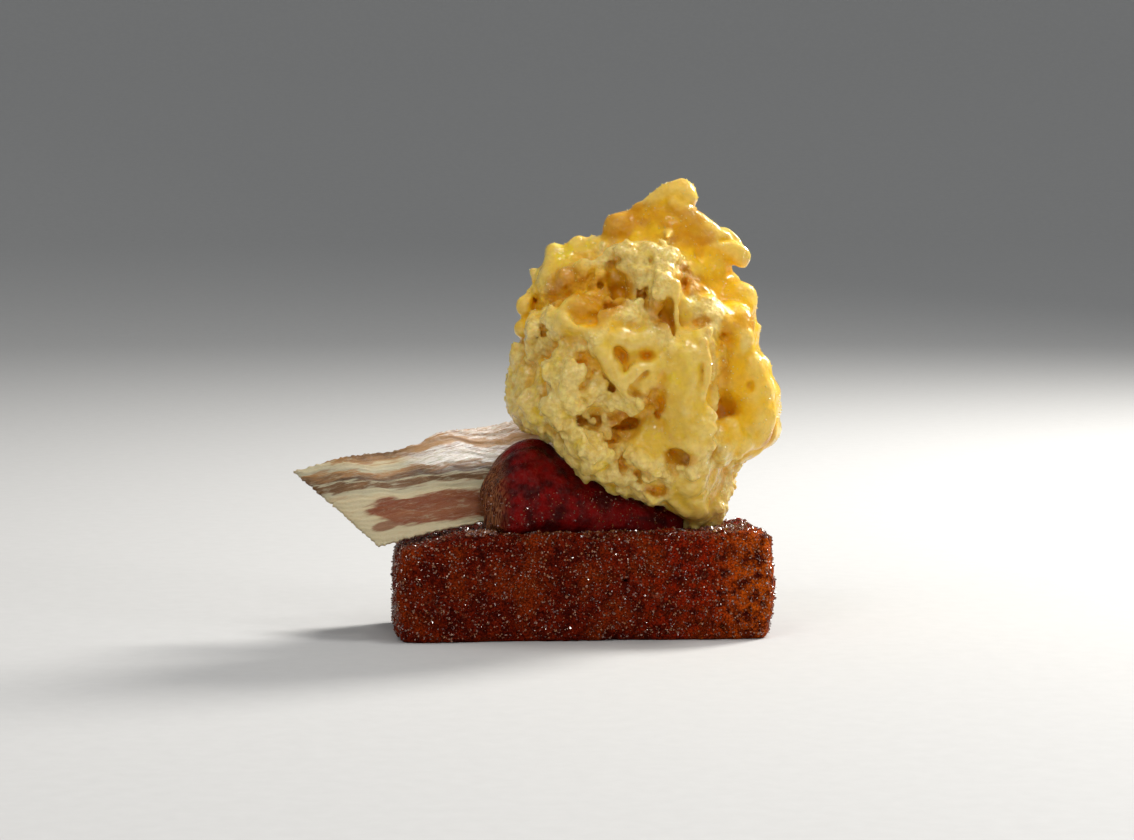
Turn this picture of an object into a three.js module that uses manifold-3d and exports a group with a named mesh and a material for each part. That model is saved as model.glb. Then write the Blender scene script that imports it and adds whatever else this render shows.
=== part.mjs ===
// A composed dessert: a caramelised block of French toast carries a lump of tomato jam, a crisp slice of
// streaky bacon stuck in the jam, and a rough scoop of yellow ice cream that leans on the jam.
// Millimetres, +Z up, the block's length along X, its front face towards -Y. The origin is the centre of
// the block's underside.
import * as THREE from "three";
import { mergeVertices } from "three/addons/utils/BufferGeometryUtils.js";
import Module from "manifold-3d";

const wasm = await Module();
wasm.setup();

// Driving dimensions.
const GAP = 0.3; // between two pieces that touch
const TOAST = {
  length: 73.5,
  width: 32,
  height: 20.9, // at its middle
  edge: 2.6, // radius of its rounded edges
  bulge: 0.5, // of each end
  lean: 0.5, // how far the foot of the left end stands out
  slope: 0.03, // how fast its top falls towards the back
  droop: { from: -24, depth: 2.6 }, // its top sinks towards the left end
};
const BACON = {
  corner: [-40.8, -12, 18.8], // the near corner of the cut end, just off the block
  width: 25.3,
  nearLength: 50, // along the near edge
  cutBack: 8.7, // how far the cut end leans out from the near edge to the far one
  thickness: 1.1,
  nick: { from: 18, to: 23, depth: 1.5 }, // where the far edge steps out
  taper: 0.1, // how fast it narrows past the nick
  turn: { yaw: 18, pitch: 10, roll: 40 }, // degrees
};
const JAM = { left: -19.5, right: 23, top: 38.6, middle: -2, blend: 0.9, reach: 55, detail: 8 };
const SCOOP = {
  centre: [13, -1, 52], // the point that its whole surface is seen from
  reach: 45,
  blend: 1.0, // how softly its lumps run together
  detail: 13,
  rough: { count: 60, least: 2.8, spread: 2.4, across: 20, up: 25, down: 17 },
};

// ---------------------------------------------------------------- solids from meshes

// A geometry with positions only and its shared vertices merged.
function welded(geometry) {
  const bare = geometry.clone();
  bare.deleteAttribute("normal");
  bare.deleteAttribute("uv");
  return mergeVertices(bare, 1e-4);
}

// A closed mesh as a manifold-3d solid.
function solidOf(geometry) {
  const merged = welded(geometry);
  return new wasm.Manifold(
    new wasm.Mesh({
      numProp: 3,
      vertProperties: new Float32Array(merged.attributes.position.array),
      triVerts: new Uint32Array(merged.index.array),
    }),
  );
}

// The largest body of a solid as a three.js geometry.
function geometryOf(solid) {
  const bodies = solid.decompose();
  const largest = bodies.reduce((a, b) => (a.volume() > b.volume() ? a : b));
  const mesh = largest.getMesh();
  const geometry = new THREE.BufferGeometry();
  geometry.setAttribute("position", new THREE.BufferAttribute(mesh.vertProperties, 3));
  geometry.setIndex(new THREE.BufferAttribute(mesh.triVerts, 1));
  geometry.computeVertexNormals();
  return geometry;
}

// Moves every vertex of a geometry to move(point).
function reshape(geometry, move) {
  const points = geometry.attributes.position;
  const p = new THREE.Vector3();
  for (let i = 0; i < points.count; i++) {
    move(p.fromBufferAttribute(points, i));
    points.setXYZ(i, p.x, p.y, p.z);
  }
  return geometry;
}

// A repeatable sequence of numbers from 0 to 1.
function sequence(seed) {
  let state = seed;
  return () => {
    state = (state * 16807) % 2147483647;
    return state / 2147483647;
  };
}

// ---------------------------------------------------------------- rounded lumps

// A ball or ellipsoid at x, y, z with those half sizes.
function lump(x, y, z, rx, ry = rx, rz = rx) {
  return {
    at: new THREE.Vector3(x, y, z),
    size: new THREE.Vector3(rx, ry, rz),
    least: Math.min(rx, ry, rz),
  };
}

const offset = new THREE.Vector3();

// The field of lumps that melt together over the distance blend. It is about the distance to their
// surface, and negative inside.
function meltedField(lumps, blend) {
  return (p) => {
    let sum = 0;
    for (const one of lumps) {
      const scaled = offset.copy(p).sub(one.at).divide(one.size).length();
      sum += Math.exp(-((scaled - 1) * one.least) / blend);
    }
    return -blend * Math.log(sum);
  };
}

// The surface where a field is zero, as seen from a centre inside it: a ball's vertices are drawn in
// along their rays from reach until they meet it.
function surfaceAround({ centre, reach, detail }, field) {
  const middle = new THREE.Vector3(...centre);
  const p = new THREE.Vector3();
  const inside = (direction, distance) =>
    field(p.copy(direction).multiplyScalar(distance).add(middle)) < 0;
  const stride = 0.5;
  const halvings = 10;
  return reshape(welded(new THREE.IcosahedronGeometry(1, detail)), (v) => {
    const direction = v.clone().normalize();
    let far = reach;
    while (far > stride && !inside(direction, far - stride)) far -= stride;
    let near = far - stride;
    for (let i = 0; i < halvings; i++) {
      const half = (near + far) / 2;
      if (inside(direction, half)) near = half;
      else far = half;
    }
    v.copy(direction).multiplyScalar(near).add(middle);
  });
}

// ---------------------------------------------------------------- French toast

// How far the top has sunk at x.
function droopAt(x) {
  const { from, depth } = TOAST.droop;
  return depth * THREE.MathUtils.clamp((from - x) / (TOAST.length / 2 + from), 0, 1);
}

// A soft block with rounded edges, a flat underside and gently uneven faces, grown by grow.
function toastGeometry(grow) {
  const half = new THREE.Vector3(TOAST.length, TOAST.width, TOAST.height).multiplyScalar(0.5);
  const inner = half.clone().subScalar(TOAST.edge);
  const near = new THREE.Vector3();
  const crowd = (u) => u * (1.5 - 0.5 * u * u); // packs the rows of vertices towards the edges
  return reshape(new THREE.BoxGeometry(2, 2, 2, 20, 9, 7), (v) => {
    v.set(crowd(v.x), crowd(v.y), crowd(v.z)).multiply(half);
    near.copy(v).clamp(inner.clone().negate(), inner);
    const out = v.clone().sub(near);
    if (out.lengthSq() > 0) v.copy(near).add(out.setLength(TOAST.edge + grow));
    const level = THREE.MathUtils.clamp((v.z + half.z) / TOAST.height, 0, 1);
    const belly = 4 * (level - level * level);
    const endness = Math.pow(Math.abs(v.x) / half.x, 6);
    v.x += Math.sign(v.x) * endness * TOAST.bulge * belly;
    if (v.x < 0) v.x -= endness * TOAST.lean * (1 - level);
    v.y += 0.35 * Math.sin(v.x * 0.21 + 1.0) * (v.y / half.y) * belly;
    v.z += half.z;
    const unevenness = 0.3 * Math.sin(v.x * 0.33) * Math.cos(v.y * 0.24) - TOAST.slope * v.y;
    v.z += level * (unevenness - droopAt(v.x));
    if (level < 0.02) v.z = -grow;
  });
}

// ---------------------------------------------------------------- bacon

// The slice in its own frame: x along the streaks from the near corner of the cut end, y across, z up
// through the thickness. The far edge steps out at the nick, and the whole slice is wavy.
function baconGeometry(grow) {
  const { nick } = BACON;
  return reshape(new THREE.BoxGeometry(1, 1, 1, 30, 8, 1), (v) => {
    const across = v.y + 0.5;
    const start = -BACON.cutBack * across - grow;
    const end = BACON.nearLength - 5 * across * across + grow;
    const x = start + (end - start) * (v.x + 0.5);
    const stepped = nick.depth * (1 - THREE.MathUtils.smoothstep(x, nick.from, nick.to));
    const width = BACON.width - stepped - BACON.taper * Math.max(0, x - nick.to);
    const y = -grow + (width + 2 * grow) * across;
    const wave = 0.45 * Math.sin(x * 0.3 + 0.8) * across + 0.35 * Math.sin(x * 0.13 + across * 2.4);
    v.set(x, y, wave + (BACON.thickness + 2 * grow) * v.z);
  });
}

function placeBacon(mesh) {
  const { yaw, pitch, roll } = BACON.turn;
  const radians = THREE.MathUtils.degToRad;
  mesh.position.set(...BACON.corner);
  mesh.rotation.set(radians(roll), radians(-pitch), radians(yaw), "ZYX");
  mesh.updateMatrixWorld(true);
  return mesh;
}

function baconCutter(grow) {
  const mesh = placeBacon(new THREE.Mesh(baconGeometry(grow)));
  return solidOf(mesh.geometry.applyMatrix4(mesh.matrixWorld));
}

// ---------------------------------------------------------------- jam

// A ridge that is tall and blunt at its left end and runs out to the right under the scoop, grown by
// grow.
function jamSolid(grow) {
  const tall = JAM.top - TOAST.height;
  const lumps = [];
  const steps = 6;
  for (let i = 0; i <= steps; i++) {
    const t = i / steps;
    const size = THREE.MathUtils.lerp(tall * 0.5, 3.4, Math.pow(t, 0.85));
    const x = THREE.MathUtils.lerp(JAM.left + tall * 0.5, JAM.right - 3.4, t);
    const z = THREE.MathUtils.lerp(JAM.top - tall * 0.6, TOAST.height - 0.2, Math.pow(t, 0.9));
    lumps.push(lump(x, JAM.middle + 1.5 * t, z, size, size * 1.15 + 3 * t, size));
  }
  lumps.push(lump(JAM.left + 5, JAM.middle - 2, TOAST.height + 4, 5.3, 9.5, 7));
  lumps.push(lump(JAM.left + 10, JAM.middle + 2, JAM.top - 6, 6.2, 8, 5.8));
  const ridge = meltedField(lumps, JAM.blend);
  const view = { ...JAM, centre: [JAM.left + tall * 0.5, JAM.middle, TOAST.height + 2] };
  return solidOf(surfaceAround(view, (p) => ridge(p) - grow));
}

// ---------------------------------------------------------------- ice cream

// What the scoop is made of, as it stands. Each lump is x, y, z and its radius or three half sizes.
const heart = [
  lump(12.5, 0.5, 55, 21, 20, 17.5),
  lump(14.5, 0.5, 70, 13.5, 13, 10),
  lump(17, 0, 80.5, 7, 6.5, 5.2),
  lump(18, -1, 36, 12, 11.5, 10),
  lump(21.5, -2, 26.5, 5.8, 5.5, 5.2),
  lump(0.8, 1, 68.5, 8.6, 11, 7.6),
  lump(-3.5, 0, 49, 8, 11, 9),
  lump(27, -1, 42.5, 8.5, 11, 8),
  lump(25, 0, 66, 7, 9, 7),
  lump(25, -2, 74.6, 5, 5, 4),
  lump(8, -6, 38, 9.5, 9, 8),
  lump(20, -7, 36, 8, 7.5, 9),
];

// The lobes of its outline from the front, from the crest down the left side to the foot and up the
// right side.
const lobes = [
  lump(11.3, -1, 82.6, 2),
  lump(7.7, -1, 81.1, 3.3),
  lump(3.4, -2, 76.6, 2.7),
  lump(-0.5, 0, 76.1, 2.6),
  lump(-5.3, -1, 74.4, 2.7),
  lump(-6.2, -3, 70.3, 3.1),
  lump(-11.6, 1, 61.2, 2.1, 3, 2.1),
  lump(-7, -6, 59.4, 4.2),
  lump(-11.4, 2, 51.5, 3.4, 5, 6),
  lump(-9.6, 1, 45.2, 3.7, 5, 4),
  lump(-6.2, -4, 43, 4.6, 6, 4.4),
  lump(1, -7, 36.4, 4.4, 5, 5),
  lump(6, -8, 32.8, 4.5, 5, 4.4),
  lump(12, -8, 31.2, 4.5, 5, 4.3),
  lump(18, -6, 27.5, 3.6, 4.5, 4.2),
  lump(20, -3, 25.2, 4.2, 4, 3.4),
  lump(24.6, -3.5, 24.8, 2.9, 3.3, 4.4),
  lump(28.7, 3, 27.8, 2.1, 3, 2.9),
  lump(29.3, 2, 32.5, 3),
  lump(33, -2, 38.2, 4, 6, 4.4),
  lump(37.2, -2, 40, 2.6, 4, 3),
  lump(36.3, -1, 46.5, 4, 7, 4.8),
  lump(35.3, 0, 52.6, 3.2),
  lump(32.4, 0, 58.6, 2.6, 4, 3),
  lump(31.4, -1, 63, 4.1, 6, 4.6),
  lump(28.6, -2, 68.4, 3.3),
];

// The front: curds under the crest, a flap, the runny stream down the middle, and the lower left curds.
const front = [
  lump(13, -12, 73.5, 6, 4.5, 5),
  lump(15, -17, 68, 4.5, 3.5, 3.5),
  lump(0, -14.5, 63, 6, 5, 5.5),
  lump(10, -18.5, 56, 7.5, 3.6, 5),
  lump(9.4, -18.5, 50.5, 3.2, 3, 3.2),
  lump(22, -18.5, 56, 4.8, 3.4, 7),
  lump(21.5, -18, 44, 4.6, 3.6, 8),
  lump(14.5, -14.5, 36.5, 4.4, 3.4, 4.4),
  lump(-3, -13, 50, 5, 5.5, 7),
  lump(1.5, -13.5, 39, 3.6, 3.4, 4.6),
  lump(30.5, -12, 55, 3.6, 5.5, 8),
  lump(22.6, -10, 31, 2.8, 3, 3.4),
];

// What is scooped out of it: the crumbly pit, the amber holes, the cove on the left and the recess under
// the stream.
const hollows = [
  lump(6.2, -19.3, 42, 4.8, 3, 3.6),
  lump(16.5, -20.5, 63.2, 2.4, 3.6, 2.8),
  lump(3.6, -17, 69.2, 4.6, 3.2, 3.6),
  lump(28.2, -18.6, 45, 3, 3.2, 3.4),
  lump(8.2, -22.4, 55.4, 1.8, 2.4, 1.7),
  lump(14.1, -22.4, 55.2, 1.8, 2.4, 1.7),
];

// Knobs that stand clear of the scoop, each along a curve from its root to its tip.
const knobs = [
  { path: [[12.5, 0, 82.4], [16, -0.5, 85.4], [19.8, -1, 86.4]], root: 3.6, tip: 3.6 },
  { path: [[20.5, -3, 80.5], [27, -4.5, 77.4], [31.9, -5, 74.9]], root: 4, tip: 2 },
  { path: [[24, -1.5, 78.6], [28.6, -1.5, 78], [30.6, -3, 76.4]], root: 2.6, tip: 1.9 },
  { path: [[-7, 0, 63], [-9.6, 0, 64.6], [-10.9, -0.5, 66]], root: 2.2, tip: 1.9 },
];

// Rough lumps over the back and sides, on a golden-angle spiral.
function backLumps() {
  const { count, least, spread, across, up, down } = SCOOP.rough;
  const next = sequence(41);
  const goldenAngle = Math.PI * (3 - Math.sqrt(5));
  const [x0, y0, z0] = SCOOP.centre;
  const lumps = [];
  for (let i = 0; i < count; i++) {
    const level = 1 - (2 * (i + 0.5)) / count;
    const turn = i * goldenAngle;
    const out = Math.sqrt(1 - level * level);
    const size = least + spread * next();
    const behind = out * Math.sin(turn);
    if (behind < 0.12 || Math.abs(level) > 0.85) continue;
    const taller = level > 0 ? up : down;
    const waist = across * (level > 0 ? 1 - 0.3 * level : 1);
    const x = x0 + waist * out * Math.cos(turn);
    lumps.push(lump(x, y0 + waist * behind, z0 + taller * level, size));
  }
  return lumps;
}

function knobSolid({ path, root, tip }) {
  const curve = new THREE.CatmullRomCurve3(path.map((p) => new THREE.Vector3(...p)));
  const long = 4; // of the capsule that is bent along the curve
  const side = new THREE.Vector3(0, 1, 0);
  return solidOf(
    reshape(new THREE.CapsuleGeometry(1, long, 3, 9, 4), (v) => {
      const t = THREE.MathUtils.clamp(v.y / long + 0.5, 0, 1);
      const size = THREE.MathUtils.lerp(root, tip, t);
      const ahead = curve.getTangent(t);
      const over = new THREE.Vector3().crossVectors(ahead, side).normalize();
      const beyond = v.y - THREE.MathUtils.clamp(v.y, -long / 2, long / 2);
      const shift = over.multiplyScalar(v.x).addScaledVector(ahead, beyond);
      shift.addScaledVector(side, v.z);
      v.copy(curve.getPoint(t)).addScaledVector(shift, size);
    }),
  );
}

function scoopSolid() {
  const mass = meltedField([...heart, ...lobes, ...front, ...backLumps()], SCOOP.blend);
  const scooped = meltedField(hollows, SCOOP.blend);
  const soft = (a, b) => SCOOP.blend * Math.log(Math.exp(a / SCOOP.blend) + Math.exp(b / SCOOP.blend));
  const body = solidOf(surfaceAround(SCOOP, (p) => soft(mass(p), -scooped(p))));
  return knobs.reduce((solid, knob) => solid.add(knobSolid(knob)), body);
}

// ---------------------------------------------------------------- the dessert

function piece(name, geometry, look) {
  const mesh = new THREE.Mesh(geometry, new THREE.MeshStandardMaterial({ metalness: 0, ...look }));
  mesh.name = name;
  return mesh;
}

const toastCutter = solidOf(toastGeometry(GAP));
const slot = baconCutter(GAP);
const jam = jamSolid(0).subtract(toastCutter).subtract(slot);
const scoop = scoopSolid().subtract(toastCutter).subtract(slot).subtract(jamSolid(GAP));

const dessert = new THREE.Group();
dessert.add(
  piece("french_toast", toastGeometry(0), { color: 0x5a2208, roughness: 0.35 }),
  piece("tomato_jam", geometryOf(jam), { color: 0x4a0a06, roughness: 0.2 }),
  placeBacon(piece("bacon_crisp", baconGeometry(0), { color: 0xb98a68, roughness: 0.35 })),
  piece("ice_cream", geometryOf(scoop), { color: 0xe8c35a, roughness: 0.3 }),
);

export default dessert;
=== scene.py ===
"""A composed French toast dessert: a caramelised block of toast, tomato jam, crisp streaky bacon and a half
melted scoop of yellow custard ice cream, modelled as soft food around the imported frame.

Shapes are worked out in millimetres on distance grids, and become meshes in metres.
"""

import math

import bpy
import numpy as np
from mathutils import Euler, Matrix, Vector
from mathutils.bvhtree import BVHTree


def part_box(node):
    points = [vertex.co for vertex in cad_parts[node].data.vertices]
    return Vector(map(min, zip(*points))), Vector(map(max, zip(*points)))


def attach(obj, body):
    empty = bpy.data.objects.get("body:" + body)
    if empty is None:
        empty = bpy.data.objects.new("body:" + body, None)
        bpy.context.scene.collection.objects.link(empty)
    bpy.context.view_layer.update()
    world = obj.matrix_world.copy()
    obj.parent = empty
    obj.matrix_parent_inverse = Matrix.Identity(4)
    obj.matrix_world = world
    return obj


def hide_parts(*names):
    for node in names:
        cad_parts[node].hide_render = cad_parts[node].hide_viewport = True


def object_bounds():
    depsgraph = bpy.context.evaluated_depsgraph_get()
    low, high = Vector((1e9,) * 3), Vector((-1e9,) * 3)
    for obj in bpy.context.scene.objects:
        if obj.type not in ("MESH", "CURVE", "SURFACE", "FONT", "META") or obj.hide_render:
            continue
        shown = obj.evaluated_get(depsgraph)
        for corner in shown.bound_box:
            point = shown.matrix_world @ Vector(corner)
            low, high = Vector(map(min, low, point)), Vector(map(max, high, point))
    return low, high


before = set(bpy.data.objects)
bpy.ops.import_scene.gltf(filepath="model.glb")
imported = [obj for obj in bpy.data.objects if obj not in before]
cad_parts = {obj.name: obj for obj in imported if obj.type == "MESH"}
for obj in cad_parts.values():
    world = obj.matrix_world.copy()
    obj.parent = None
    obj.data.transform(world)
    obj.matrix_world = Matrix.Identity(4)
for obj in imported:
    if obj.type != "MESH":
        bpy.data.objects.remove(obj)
CAD_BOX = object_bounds()

MM = 0.001

# The camera stands a little to the left of the block's front and a little above it.
CAMERA = {
    "azimuth": -5.0,
    "elevation": 4.6,
    "distance": 0.7,
    "lens": 111.1,
    "sensor": 36.0,
    "aim": Vector((0.0059, 0.0007, -0.0026)),  # from the middle of the CAD box
}


def direction(azimuth, elevation):
    """The unit vector from the object towards something seen at those angles, in degrees."""
    a, e = math.radians(azimuth), math.radians(elevation)
    return Vector((math.sin(a) * math.cos(e), -math.cos(a) * math.cos(e), math.sin(e)))


AIM = (CAD_BOX[0] + CAD_BOX[1]) / 2 + CAMERA["aim"]
EYE = AIM + direction(CAMERA["azimuth"], CAMERA["elevation"]) * CAMERA["distance"]


def smoothstep(x, low, high):
    t = np.clip((x - low) / (high - low), 0, 1)
    return t * t * (3 - 2 * t)


# ---------------------------------------------------------------- distance grids


class Field:
    """Distances to a surface, in millimetres and negative inside, on a regular grid."""

    def __init__(self, low, step, values):
        self.low = np.array(low, float)
        self.step = step
        self.values = values.astype(np.float32)

    def axes(self, window=(slice(None),) * 3):
        """The grid's x, y and z in a window of it, shaped to combine."""
        lines = [
            self.low[k] + self.step * np.arange(n)[window[k]]
            for k, n in enumerate(self.values.shape)
        ]
        return [
            lines[0][:, None, None].astype(np.float32),
            lines[1][None, :, None].astype(np.float32),
            lines[2][None, None, :].astype(np.float32),
        ]

    def window(self, low, high):
        """The part of the grid that covers a box."""
        first = np.floor((np.array(low) - self.low) / self.step).astype(int)
        last = np.ceil((np.array(high) - self.low) / self.step).astype(int) + 1
        return tuple(
            slice(max(0, a), max(0, min(n, b)))
            for a, b, n in zip(first, last, self.values.shape)
        )

    def at(self, points, values=None):
        """Values at points, from their eight neighbours. Other values on the same grid may be given."""
        values = self.values if values is None else values
        where = (np.asarray(points) - self.low) / self.step
        top = np.array(values.shape) - 2
        base = np.clip(np.floor(where).astype(int), 0, top)
        share = np.clip(where - base, 0, 1)
        total = np.zeros(len(where))
        for corner in np.ndindex(2, 2, 2):
            i = base + corner
            weight = np.prod(np.where(np.array(corner) == 1, share, 1 - share), axis=1)
            total += weight * values[i[:, 0], i[:, 1], i[:, 2]]
        return total


def along(values, axis, index, share_by_offset):
    """The weighted sum of a grid's neighbours along one axis."""
    shape = [1, 1, 1]
    shape[axis] = -1
    total = 0
    for offset, share in share_by_offset:
        total = total + np.take(values, index + offset, axis=axis) * share.reshape(shape)
    return total.astype(np.float32)


def box_of(node):
    """A CAD node's lowest and highest corner, in millimetres."""
    return [np.array(corner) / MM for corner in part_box(node)]


def tree_of(node):
    """A CAD node's surface, in millimetres, for finding the nearest place and for rays."""
    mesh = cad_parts[node].data
    corners = [tuple(v.co / MM) for v in mesh.vertices]
    return BVHTree.FromPolygons(corners, [tuple(p.vertices) for p in mesh.polygons])


def field_of(node, step, margin, coarse=1.2):
    """The distance grid of a CAD node, measured on a coarse grid and refined to the given step."""
    tree = tree_of(node)
    low, high = box_of(node)
    low, high = low - margin, high + margin
    counts = np.ceil((high - low) / coarse).astype(int) + 1
    rough = np.empty(counts, np.float32)
    lines = [low[k] + coarse * np.arange(counts[k]) for k in range(3)]
    for i, x in enumerate(lines[0]):
        for j, y in enumerate(lines[1]):
            for k, z in enumerate(lines[2]):
                rough[i, j, k] = tree.find_nearest((x, y, z))[3]
    nudge = 0.013  # keeps the rays off the mesh's own edges
    for j, y in enumerate(lines[1]):
        for k, z in enumerate(lines[2]):
            start = Vector((low[0] - 1, y + nudge, z + nudge))
            inside = False
            passed = 0
            while True:
                hit = tree.ray_cast(start, Vector((1, 0, 0)))[0]
                end = counts[0] if hit is None else int(np.ceil((hit.x - low[0]) / coarse))
                if inside and hit is not None:
                    rough[passed:end, j, k] *= -1
                if hit is None:
                    break
                passed = max(0, end)
                inside = not inside
                start = hit + Vector((1e-3, 0, 0))
    shape = np.floor((counts - 1) * coarse / step).astype(int)
    values = rough
    for k in range(3):
        where = np.arange(shape[k]) * step / coarse
        index = np.floor(where).astype(int)
        share = where - index
        values = along(values, k, index, [(0, 1 - share), (1, share)])
    return Field(low, step, values)


def softened(values, radius):
    """A grid blurred over about radius cells."""
    reach = int(math.ceil(2 * radius))
    weights = np.exp(-0.5 * (np.arange(-reach, reach + 1) / radius) ** 2)
    weights /= weights.sum()
    for k in range(3):
        padding = [(0, 0)] * 3
        padding[k] = (reach, reach)
        padded = np.pad(values, padding, mode="edge")
        count = values.shape[k]
        total = np.zeros_like(values)
        for i, weight in enumerate(weights):
            part = [slice(None)] * 3
            part[k] = slice(i, i + count)
            total += np.float32(weight) * padded[tuple(part)]
        values = total
    return values


def noise(field, size, seed):
    """Smooth noise over a grid, mostly from -1 to 1, whose bumps are about size millimetres apart."""
    random = np.random.default_rng(seed)
    shape = field.values.shape
    values = random.standard_normal([int(n * field.step / size) + 5 for n in shape])
    for k in range(3):
        where = np.arange(shape[k]) * field.step / size
        index = np.floor(where).astype(int)
        t = where - index
        shares = [(1 - t) ** 3, 3 * t**3 - 6 * t**2 + 4, 1 + 3 * t + 3 * t**2 - 3 * t**3, t**3]
        values = along(values, k, index, [(i, share / 6) for i, share in enumerate(shares)])
    return 1.6 * values


def warped(field, bends, share, seed):
    """Bends the whole shape by smooth noise, so that nothing on it stays round or straight. Each bend is
    the size of the noise's bumps and how far it moves things, in millimetres, and share is a grid of how
    much of it is used."""
    parts = []
    for k, line in enumerate(field.axes()):
        shift = sum(far * noise(field, size, seed + 10 * k + i) for i, (size, far) in enumerate(bends))
        parts.append((line + share * shift).ravel())
    field.values = field.at(np.stack(parts, 1)).reshape(field.values.shape).astype(np.float32)


def merged(old, new, soft):
    """The union of two distances, rounded where they meet."""
    share = np.clip(0.5 + 0.5 * (old - new) / soft, 0, 1)
    return old + (new - old) * share - soft * share * (1 - share)


def settled(field, floor, drop):
    """Brings the underside down by drop cells, as far as a floor, so that the piece rests on it."""
    values = field.values
    for _ in range(drop):
        values = np.minimum(values, np.concatenate([values[:, :, 1:], values[:, :, -1:]], 2))
    field.values = np.maximum(values, floor - field.axes()[2])


def put(field, window, distance, soft, carve):
    part = field.values[window]
    if carve:
        field.values[window] = -merged(-part, distance, soft)
    else:
        field.values[window] = merged(part, distance, soft)


def lump(field, centre, size, soft=0.6, turn=None, carve=False, wobble=None):
    """Adds or carves an ellipsoid with those half sizes, turned by a rotation matrix. Wobble is a grid of
    millimetres that makes its outline uneven."""
    size = np.array(size, float) * np.ones(3)
    reach = size.max() + 2 * soft + (0.6 if wobble is not None else 0)
    window = field.window(np.array(centre) - reach, np.array(centre) + reach)
    offset = [a - c for a, c in zip(field.axes(window), centre)]
    if turn is not None:
        offset = [sum(turn[j][k] * offset[j] for j in range(3)) for k in range(3)]
    scaled = np.sqrt(sum((o / s) ** 2 for o, s in zip(offset, size)))
    distance = (scaled - 1) * size.min()
    if wobble is not None:
        distance = distance + wobble[window]
    put(field, window, distance, soft, carve)


def stroke(field, path, radii, soft=0.6, carve=False):
    """Adds or carves a round stroke through points, with a radius at each."""
    path = np.array(path, float)
    reach = max(radii) + 2 * soft
    window = field.window(path.min(0) - reach, path.max(0) + reach)
    spot = field.axes(window)
    distance = None
    for a, b, ra, rb in zip(path, path[1:], radii, radii[1:]):
        line = b - a
        length = max(1e-9, line @ line)
        share = np.clip(sum((s - p) * d for s, p, d in zip(spot, a, line)) / length, 0, 1)
        gap = np.sqrt(sum((s - p - d * share) ** 2 for s, p, d in zip(spot, a, line)))
        gap = gap - (ra + (rb - ra) * share)
        distance = gap if distance is None else np.minimum(distance, gap)
    put(field, window, distance, soft, carve)


def rounded_path(points, radii, per_span=5):
    """More points and radii on a smooth curve through the given ones."""
    points, radii = np.array(points, float), np.array(radii, float)
    all_of = np.column_stack([points, radii])
    padded = np.vstack([2 * all_of[0] - all_of[1], all_of, 2 * all_of[-1] - all_of[-2]])
    made = []
    for i in range(len(all_of) - 1):
        p0, p1, p2, p3 = padded[i : i + 4]
        for t in np.arange(per_span) / per_span:
            bend = (2 * p0 - 5 * p1 + 4 * p2 - p3) * t**2 + (3 * p1 - p0 - 3 * p2 + p3) * t**3
            made.append(p1 + 0.5 * ((p2 - p0) * t + bend))
    made = np.array(made + [all_of[-1]])
    return made[:, :3], made[:, 3]


# ---------------------------------------------------------------- meshes


def netted(field):
    """The vertices and quads of the surface where a field is zero, by surface nets."""
    values = field.values
    inside = values < 0
    cells = np.array(values.shape) - 1
    stride = np.array([cells[1] * cells[2], cells[2], 1])
    total = np.zeros((3, cells.prod()))
    count = np.zeros(cells.prod())
    quads = []
    for k in range(3):
        lower, upper = [slice(None)] * 3, [slice(None)] * 3
        lower[k], upper[k] = slice(0, -1), slice(1, None)
        lower, upper = tuple(lower), tuple(upper)
        spot = np.argwhere(inside[lower] != inside[upper])
        m, n = (k + 1) % 3, (k + 2) % 3
        kept = (spot[:, m] > 0) & (spot[:, n] > 0) & (spot[:, m] < cells[m]) & (spot[:, n] < cells[n])
        spot = spot[kept]
        below = values[lower][tuple(spot.T)]
        above = values[upper][tuple(spot.T)]
        crossing = spot.astype(float)
        crossing[:, k] += below / (below - above)
        around = []
        for back_m, back_n in ((1, 1), (0, 1), (0, 0), (1, 0)):
            cell = spot.copy()
            cell[:, m] -= back_m
            cell[:, n] -= back_n
            around.append(cell @ stride)
        for ids in around:
            count += np.bincount(ids, minlength=len(count))
            for j in range(3):
                total[j] += np.bincount(ids, weights=crossing[:, j], minlength=len(count))
        ring = np.stack(around, 1)
        ring[below >= 0] = ring[below >= 0][:, ::-1]
        quads.append(ring)
    used = np.flatnonzero(count)
    order = np.zeros(len(count), int)
    order[used] = np.arange(len(used))
    points = field.low + field.step * (total[:, used] / count[used]).T
    return points, order[np.concatenate(quads)]


def mesh_piece(name, points, faces, look, values=None):
    """A smooth-shaded object from points in millimetres, with a number at each point for each of values."""
    mesh = bpy.data.meshes.new(name)
    mesh.from_pydata((np.asarray(points) * MM).tolist(), [], [list(f) for f in np.asarray(faces).tolist()])
    for key, numbers in (values or {}).items():
        mesh.attributes.new(key, "FLOAT", "POINT").data.foreach_set("value", np.asarray(numbers, np.float32))
    mesh.shade_smooth()
    mesh.materials.append(look)
    piece = bpy.data.objects.new(name, mesh)
    bpy.context.scene.collection.objects.link(piece)
    return piece


def largest_part(points, quads):
    """Drops the loose bits that are not joined to the main surface."""
    label = np.arange(len(points))
    while True:
        least = label[quads].min(1)
        before = label.copy()
        for k in range(4):
            np.minimum.at(label, quads[:, k], least)
        label = label[label]
        if np.array_equal(before, label):
            break
    main = np.bincount(label).argmax()
    kept = label == main
    order = np.cumsum(kept) - 1
    return points[kept], order[quads[kept[quads[:, 0]]]]


# ---------------------------------------------------------------- material nodes


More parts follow.
